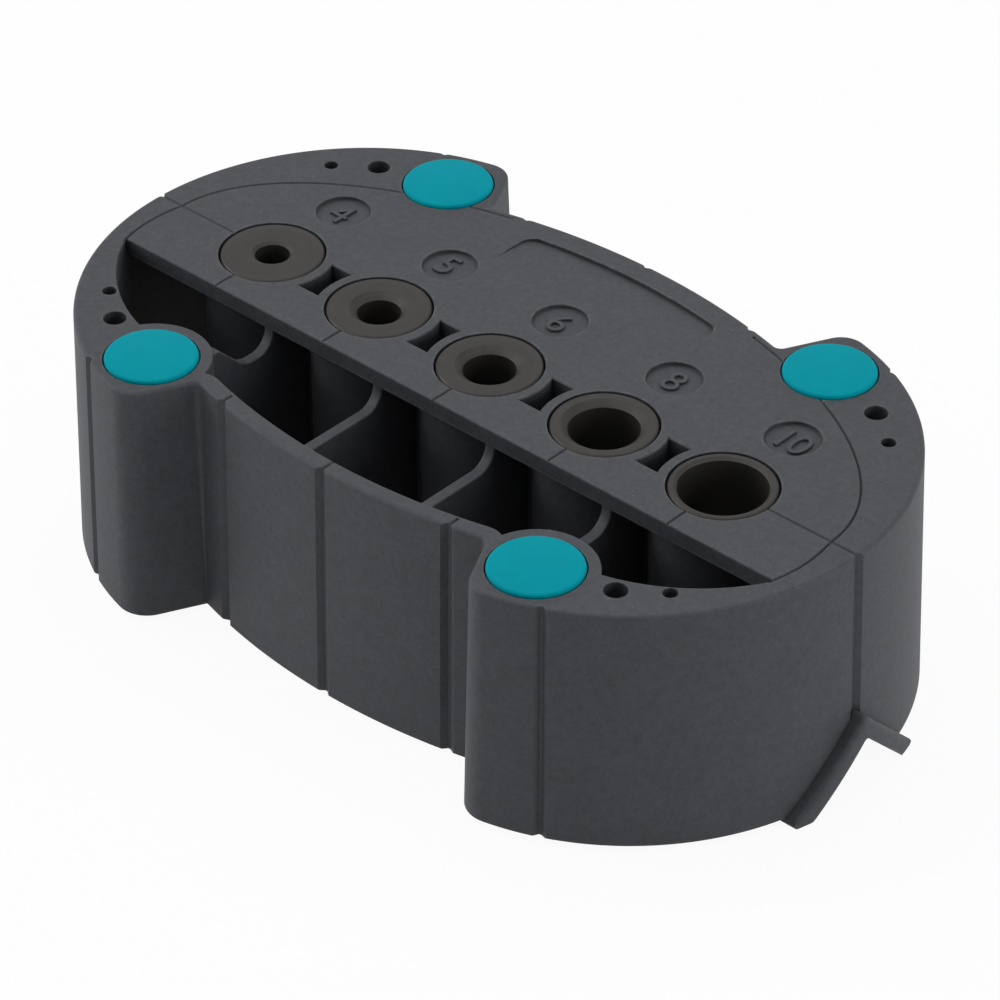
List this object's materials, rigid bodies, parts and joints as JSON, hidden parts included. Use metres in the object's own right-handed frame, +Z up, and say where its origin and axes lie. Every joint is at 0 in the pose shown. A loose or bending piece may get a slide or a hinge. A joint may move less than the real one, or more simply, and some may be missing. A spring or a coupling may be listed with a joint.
{
  "type": "drill guide",
  "caption": "Moulded drill guide block with a row of steel drill bushes, soft grip plugs at its corner posts and a V channel underneath for dowels and edges.",
  "frame": {"origin": "on the surface that the guide stands on, below the axis of the middle bush", "axes": "+X along the row of bushes towards the largest bore, +Y towards the closed side of the deck, +Z up along the bores"},
  "size_m": [0.1108, 0.0648, 0.0316],
  "materials": {
    "anthracite_plastic": "fine moulded grain, matte, with slightly worn light edges",
    "blackened_steel": "turned and blackened, oiled satin",
    "teal_elastomer": "soft satin"
  },
  "bodies": {
    "root": {"body": "anthracite_plastic", "bush_4mm": "blackened_steel", "bush_5mm": "blackened_steel", "bush_6mm": "blackened_steel", "bush_8mm": "blackened_steel", "bush_10mm": "blackened_steel", "grip_plug_front_left": "teal_elastomer", "grip_plug_front_right": "teal_elastomer", "grip_plug_back_left": "teal_elastomer", "grip_plug_back_right": "teal_elastomer"}
  },
  "joints": []
}
